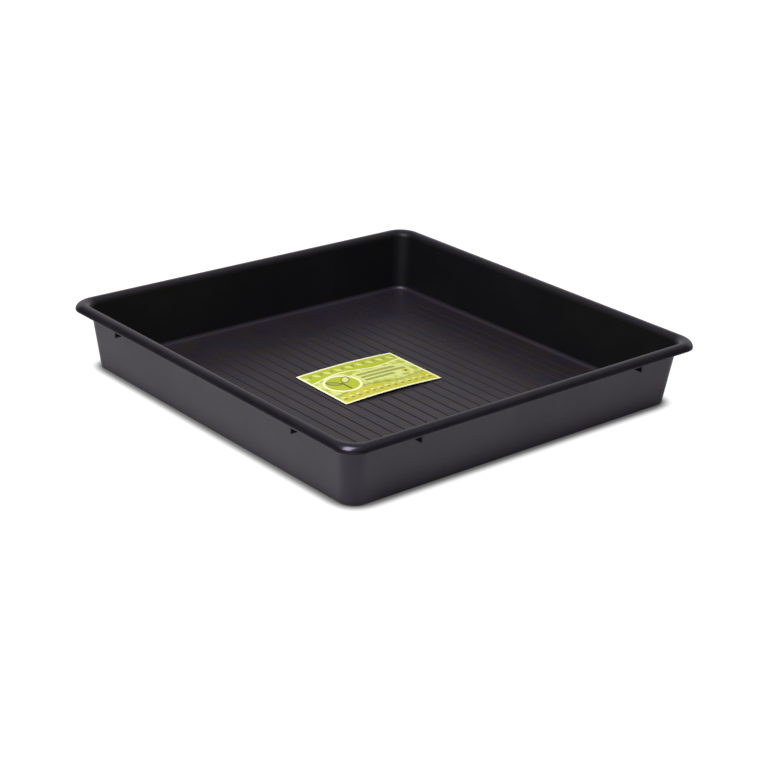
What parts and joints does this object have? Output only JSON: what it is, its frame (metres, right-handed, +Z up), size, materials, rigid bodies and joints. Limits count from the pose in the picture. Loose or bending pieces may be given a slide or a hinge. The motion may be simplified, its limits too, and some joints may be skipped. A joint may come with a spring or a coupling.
{
  "type": "potting soil tray",
  "caption": "Large square black plastic tray with leaning walls, a half-round rim and a ribbed floor, for mixing soil and filling pots; a printed card lies inside.",
  "frame": {"origin": "middle of the flat underside, where the tray stands", "axes": "+Z up, out of the open top; Y along the floor ribs; the card reads upright when seen from the -Y side"},
  "size_m": [0.8, 0.8, 0.12],
  "materials": {
    "black_plastic": "satin black, lightly grained moulding",
    "printed_card": "semi-gloss print"
  },
  "bodies": {
    "root": {"tray": "black_plastic", "label_card": "printed_card"}
  },
  "joints": []
}
